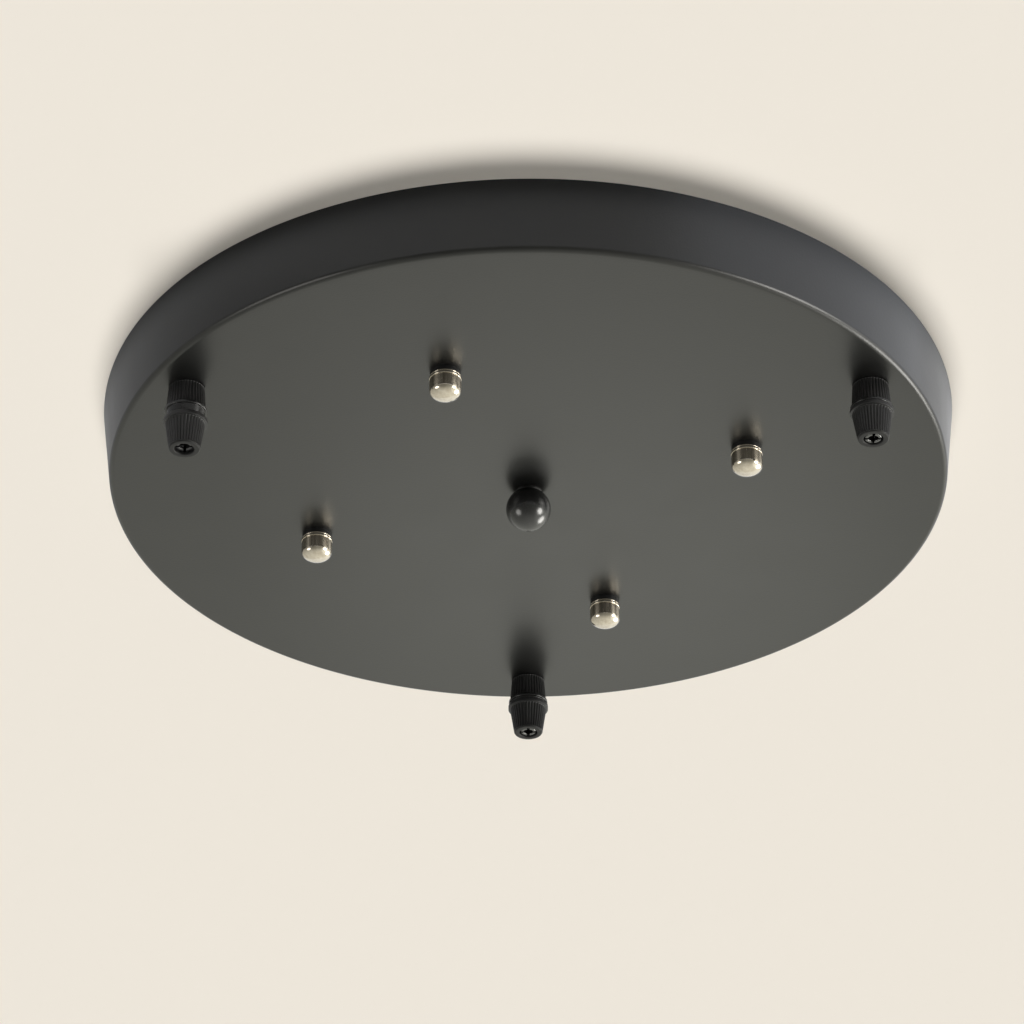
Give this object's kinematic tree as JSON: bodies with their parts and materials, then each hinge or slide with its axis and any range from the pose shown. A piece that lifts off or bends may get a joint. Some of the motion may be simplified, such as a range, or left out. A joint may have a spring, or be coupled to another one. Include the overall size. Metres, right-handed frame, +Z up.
{
  "type": "light fixture ceiling canopy",
  "caption": "Round black ceiling canopy for pendant lamps: shallow pressed pan with ribbed cord grips round its edge, nickel cap nuts and a ball nut.",
  "frame": {"origin": "centre of the canopy on the ceiling, the centre of the ceiling screw pattern", "axes": "+Z up into the ceiling, +Y at the far cord grip, so the canopy hangs on the minus Z side"},
  "size_m": [0.3, 0.3, 0.0508],
  "materials": {
    "canopy_pan": "satin black powder coat",
    "cross_bracket": "zinc plated",
    "bracket_screws": "zinc plated",
    "spring_washers": "zinc plated",
    "lock_nuts": "zinc plated",
    "cap_nut": "bright nickel plate",
    "nut_washer": "black nylon",
    "ball_nut": "satin black enamel",
    "ball_washer": "black nylon",
    "grip_body": "black moulded nylon",
    "grip_cap": "black moulded nylon",
    "cord_clamp": "black nylon, polished by the mould",
    "grip_washers": "zinc plated spring steel",
    "grip_nuts": "zinc plated",
    "terminal_block": "white nylon",
    "terminal_tubes": "plain brass",
    "terminal_screws": "zinc plated",
    "terminal_fixing_screw": "zinc plated",
    "earth_washer": "zinc plated",
    "earth_screw": "plain brass"
  },
  "bodies": {
    "canopy": {"canopy_pan": "canopy_pan", "cross_bracket": "cross_bracket", "bracket_screws": "bracket_screws", "spring_washers": "spring_washers", "lock_nuts": "lock_nuts", "grip_body_left": "grip_body", "grip_body_right": "grip_body", "grip_body_far": "grip_body", "grip_washers": "grip_washers", "grip_nuts": "grip_nuts", "terminal_block": "terminal_block", "terminal_tubes": "terminal_tubes", "terminal_screws": "terminal_screws", "terminal_fixing_screw": "terminal_fixing_screw", "earth_washer": "earth_washer", "earth_screw": "earth_screw"},
    "nut_washer_right_near": {"nut_washer_right_near": "nut_washer"},
    "cap_nut_right_near": {"cap_nut_right_near": "cap_nut"},
    "nut_washer_right_far": {"nut_washer_right_far": "nut_washer"},
    "cap_nut_right_far": {"cap_nut_right_far": "cap_nut"},
    "nut_washer_left_far": {"nut_washer_left_far": "nut_washer"},
    "cap_nut_left_far": {"cap_nut_left_far": "cap_nut"},
    "nut_washer_left_near": {"nut_washer_left_near": "nut_washer"},
    "cap_nut_left_near": {"cap_nut_left_near": "cap_nut"},
    "ball_washer": {"ball_washer": "ball_washer"},
    "ball_nut": {"ball_nut": "ball_nut"},
    "cord_clamp_left": {"cord_clamp_left": "cord_clamp"},
    "grip_cap_left": {"grip_cap_left": "grip_cap"},
    "cord_clamp_right": {"cord_clamp_right": "cord_clamp"},
    "grip_cap_right": {"grip_cap_right": "grip_cap"},
    "cord_clamp_far": {"cord_clamp_far": "cord_clamp"},
    "grip_cap_far": {"grip_cap_far": "grip_cap"}
  },
  "joints": [
    {"name": "cap_nut_right_near_travel", "type": "slide", "parent": "canopy", "child": "nut_washer_right_near", "axis": [0, 0, -1], "range_m": [0, 0.0056]},
    {"name": "cap_nut_right_near_turn", "type": "hinge", "parent": "nut_washer_right_near", "child": "cap_nut_right_near", "pos_m": [0.07545, -0.02806, -0.0323], "axis": [0, 0, -1], "range_deg": [0, 2880]},
    {"name": "cap_nut_right_far_travel", "type": "slide", "parent": "canopy", "child": "nut_washer_right_far", "axis": [0, 0, -1], "range_m": [0, 0.0056]},
    {"name": "cap_nut_right_far_turn", "type": "hinge", "parent": "nut_washer_right_far", "child": "cap_nut_right_far", "pos_m": [0.02806, 0.07545, -0.0323], "axis": [0, 0, -1], "range_deg": [0, 2880]},
    {"name": "cap_nut_left_far_travel", "type": "slide", "parent": "canopy", "child": "nut_washer_left_far", "axis": [0, 0, -1], "range_m": [0, 0.0056]},
    {"name": "cap_nut_left_far_turn", "type": "hinge", "parent": "nut_washer_left_far", "child": "cap_nut_left_far", "pos_m": [-0.07545, 0.02806, -0.0323], "axis": [0, 0, -1], "range_deg": [0, 2880]},
    {"name": "cap_nut_left_near_travel", "type": "slide", "parent": "canopy", "child": "nut_washer_left_near", "axis": [0, 0, -1], "range_m": [0, 0.0056]},
    {"name": "cap_nut_left_near_turn", "type": "hinge", "parent": "nut_washer_left_near", "child": "cap_nut_left_near", "pos_m": [-0.02806, -0.07545, -0.0323], "axis": [0, 0, -1], "range_deg": [0, 2880]},
    {"name": "ball_nut_travel", "type": "slide", "parent": "canopy", "child": "ball_washer", "axis": [0, 0, -1], "range_m": [0, 0.0063]},
    {"name": "ball_nut_turn", "type": "hinge", "parent": "ball_washer", "child": "ball_nut", "pos_m": [0, 0, -0.0333], "axis": [0, 0, -1], "range_deg": [0, 3240]},
    {"name": "grip_cap_left_travel", "type": "slide", "parent": "canopy", "child": "cord_clamp_left", "axis": [0, 0, -1], "range_m": [-0.0029, 0.0021]},
    {"name": "grip_cap_left_turn", "type": "hinge", "parent": "cord_clamp_left", "child": "grip_cap_left", "pos_m": [-0.1157, -0.0668, -0.0452], "axis": [0, 0, -1], "range_deg": [-696, 504]},
    {"name": "grip_cap_right_travel", "type": "slide", "parent": "canopy", "child": "cord_clamp_right", "axis": [0, 0, -1], "range_m": [0, 0.005]},
    {"name": "grip_cap_right_turn", "type": "hinge", "parent": "cord_clamp_right", "child": "grip_cap_right", "pos_m": [0.1157, -0.0668, -0.0423], "axis": [0, 0, -1], "range_deg": [0, 1200]},
    {"name": "grip_cap_far_travel", "type": "slide", "parent": "canopy", "child": "cord_clamp_far", "axis": [0, 0, -1], "range_m": [-0.0008, 0.0042]},
    {"name": "grip_cap_far_turn", "type": "hinge", "parent": "cord_clamp_far", "child": "grip_cap_far", "pos_m": [0, 0.1336, -0.0431], "axis": [0, 0, -1], "range_deg": [-192, 1008]}
  ],
  "couplings": [
    {"joint": "cap_nut_right_near_travel", "follows": "cap_nut_right_near_turn", "m_per_rad": 0.00011141},
    {"joint": "cap_nut_right_far_travel", "follows": "cap_nut_right_far_turn", "m_per_rad": 0.00011141},
    {"joint": "cap_nut_left_far_travel", "follows": "cap_nut_left_far_turn", "m_per_rad": 0.00011141},
    {"joint": "cap_nut_left_near_travel", "follows": "cap_nut_left_near_turn", "m_per_rad": 0.00011141},
    {"joint": "ball_nut_travel", "follows": "ball_nut_turn", "m_per_rad": 0.00011141},
    {"joint": "grip_cap_left_travel", "follows": "grip_cap_left_turn", "m_per_rad": 0.00023873},
    {"joint": "grip_cap_right_travel", "follows": "grip_cap_right_turn", "m_per_rad": 0.00023873},
    {"joint": "grip_cap_far_travel", "follows": "grip_cap_far_turn", "m_per_rad": 0.00023873}
  ]
}
